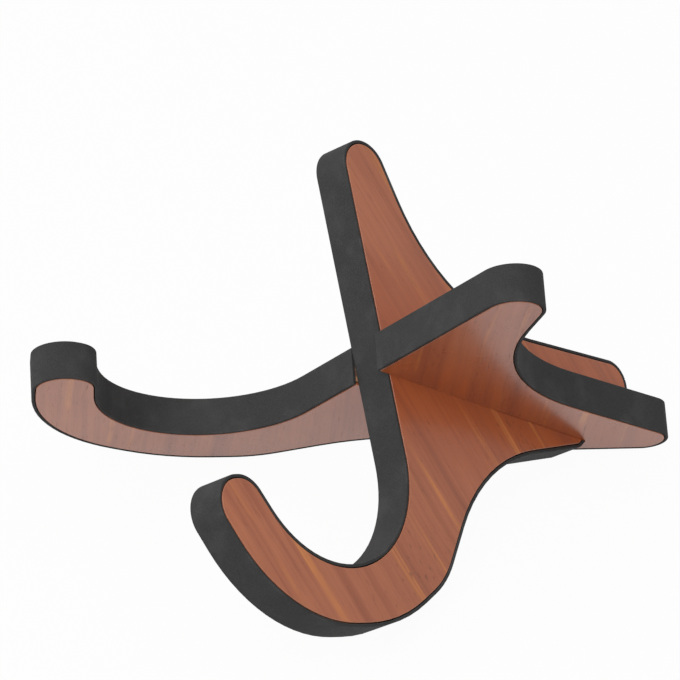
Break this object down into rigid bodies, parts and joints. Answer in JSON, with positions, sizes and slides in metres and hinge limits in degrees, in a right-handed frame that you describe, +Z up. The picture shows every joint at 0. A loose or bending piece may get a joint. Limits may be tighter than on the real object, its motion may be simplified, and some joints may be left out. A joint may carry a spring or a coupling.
{
  "type": "kalimba stand",
  "caption": "Crossed, slotted wooden panels with foam-lined edges and hooked fronts that cradle a small instrument; the panels slide apart for packing.",
  "frame": {"origin": "on the floor, under the middle of the stand's bounding box", "axes": "+Z up with the stand on its hooks and feet, -Y to the front where the hooks hold the instrument, +X to the side of the rear-slotted panel's hook"},
  "size_m": [0.139, 0.205, 0.1074],
  "materials": {
    "core": "sawn plywood, seen only in the slots",
    "veneer": "red-brown straight-grained veneer, satin lacquer",
    "foam": "dark grey closed-cell foam, matt"
  },
  "bodies": {
    "front_slot_panel": {"front_slot_core": "core", "front_slot_veneer_top": "veneer", "front_slot_veneer_under": "veneer", "front_slot_foam_upper": "foam", "front_slot_foam_lower": "foam"},
    "rear_slot_panel": {"rear_slot_core": "core", "rear_slot_veneer_top": "veneer", "rear_slot_veneer_under": "veneer", "rear_slot_foam_main": "foam", "rear_slot_foam_foot": "foam"}
  },
  "joints": [
    {"name": "slot_slide", "type": "slide", "parent": "front_slot_panel", "child": "rear_slot_panel", "axis": [-0.0057, -0.8595, 0.5112], "range_m": [0, 0.05]}
  ]
}
